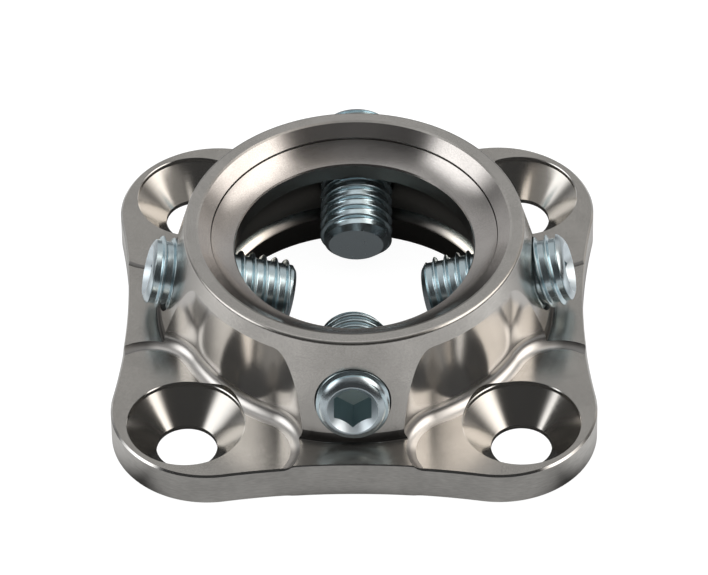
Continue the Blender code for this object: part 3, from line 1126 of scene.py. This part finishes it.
def right_light(sky, bearing, rise):
    """Bright soft panel on the right, higher away from the camera."""
    low, high = RIGHT_PANEL_RISE
    top = high + RIGHT_PANEL_LIFT * sky.between(bearing, *RIGHT_LIFT_BEARING)
    width = sky.window(bearing, *RIGHT_PANEL_BEARING, PANEL_SIDE_BLUR)
    return RIGHT_PANEL_LIGHT * width * sky.window(rise, low, top, PANEL_EDGE_BLUR)


def left_light(sky, bearing, rise):
    """Bright soft panel on the left, highest a little before its far end."""
    low, high = LEFT_PANEL_RISE
    top = high + LEFT_PANEL_LIFT * sky.between(bearing, *LEFT_LIFT_BEARING)
    top -= LEFT_PANEL_FALL * sky.between(bearing, *LEFT_FALL_BEARING)
    width = sky.window(bearing, *LEFT_PANEL_BEARING, PANEL_SIDE_BLUR)
    return LEFT_PANEL_LIGHT * width * sky.window(rise, low, top, PANEL_EDGE_BLUR)


def build_world():
    """White surroundings for the camera; two soft panels and grey walls for the metal."""
    world = bpy.data.worlds.new("studio")
    world.use_nodes = True
    bpy.context.scene.world = world
    sky = Shading(world.node_tree)
    background = world.node_tree.nodes["Background"]
    _, x, y, z = sky.place("Generated")
    bearing = sky.maths("ARCTAN2", x, -1.0 * y) * math.degrees(1)
    rise = sky.maths("ARCSINE", z) * math.degrees(1)
    light = OVERHEAD_LIGHT + ZENITH_LIGHT * sky.between(rise, *ZENITH_RISE)
    light += back_light(sky, y, bearing, rise)
    light += left_light(sky, bearing, rise) + right_light(sky, bearing, rise)
    camera_ray, glossy_ray = sky.ray("Camera"), sky.ray("Glossy")
    strength = camera_ray + light * glossy_ray + AMBIENT_LIGHT * (1 - camera_ray - glossy_ray)
    sky.feed(background.inputs["Strength"], strength)
    warm_side = sky.between(bearing, *WARM_SIDE_START) * sky.between(bearing, *WARM_SIDE_END)
    sky.feed(background.inputs["Color"], sky.mix(glossy_ray * warm_side, WHITE, WARM_WHITE))


def floor_light(paint, x, y):
    """Light of the floor that the metal mirrors, by its place around and beside the plate."""
    away = hypot(x, y)
    beside = paint.maths("MAXIMUM", abs(x), abs(y))
    near = PLATE_EDGE_LIGHT * paint.between(beside, *PLATE_EDGE_REACH)
    near += NEAR_LIGHT * paint.between(away, *NEAR_REACH)
    near *= 1 - BEHIND_SHARE * paint.between(y, *BEHIND_DEPTH)
    middle = MIDDLE_LIGHT * paint.between(away, *MIDDLE_REACH)
    strips = STRIP_LIGHT * paint.window(abs(x), *STRIP_REACH, STRIP_BLUR)
    bands = SIDE_LIGHT + SIDE_BAND_LIGHT * paint.window(y, *SIDE_BAND_DEPTH, SIDE_BAND_BLUR)
    return FLOOR_LIGHT + near + middle + strips + bands * paint.between(abs(x), *SIDE_REACH)


def floor_paint():
    """Paint that keeps a soft shadow and shows white to the camera and in the metal."""
    material = bpy.data.materials.new("floor_paint")
    material.use_nodes = True
    paint = Shading(material.node_tree)
    inputs = material.node_tree.nodes["Principled BSDF"].inputs
    inputs["Roughness"].default_value = 1.0
    inputs["Specular IOR Level"].default_value = 0.0
    inputs["Emission Color"].default_value = (*WHITE, 1.0)
    camera_ray, glossy_ray = paint.ray("Camera"), paint.ray("Glossy")
    paler = paint.mix(camera_ray, grey(FLOOR_DIFFUSE), grey(FLOOR_CAMERA_DIFFUSE))
    paint.feed(inputs["Base Color"], paint.mix(glossy_ray, paler, grey(FLOOR_GLOSSY_DIFFUSE)))
    _, x, y, _ = paint.place()
    light = camera_ray * FLOOR_CAMERA_LIGHT + glossy_ray * floor_light(paint, x, y)
    paint.feed(inputs["Emission Strength"], light)
    return material


def build_floor():
    """Wide floor just under the base."""
    half = FLOOR_SIZE / 2
    corners = [(-half, -half, 0.0), (half, -half, 0.0), (half, half, 0.0), (-half, half, 0.0)]
    mesh = bpy.data.meshes.new("floor")
    mesh.from_pydata(corners, [], [(0, 1, 2, 3)])
    mesh.materials.append(floor_paint())
    floor = bpy.data.objects.new("floor", mesh)
    bpy.context.scene.collection.objects.link(floor)
    floor.location.z = -FLOOR_DROP


def main():
    finishes = {
        "turned": turned_finish(),
        "seat": seat_finish(),
        "polished": polished_finish(),
        "blended": blended_finish(),
        "foot": foot_finish(),
        "milled": milled_finish(),
        "countersink": countersink_finish(),
        "side": side_finish(),
        "edge": edge_finish(),
        "painted_round": painted_round_finish(),
        "bore": bore_finish(),
        "base": base_finish(),
        "zinc": zinc_finish(),
        "thread": thread_finish(),
        "mouth": mouth_finish(),
        "dull": dull_finish(),
        "socket": socket_finish(),
    }
    build_receiver(finishes)
    build_screws(finishes)
    build_floor()
    build_world()
    build_camera()
    bpy.context.scene.view_settings.view_transform = "Standard"


main()
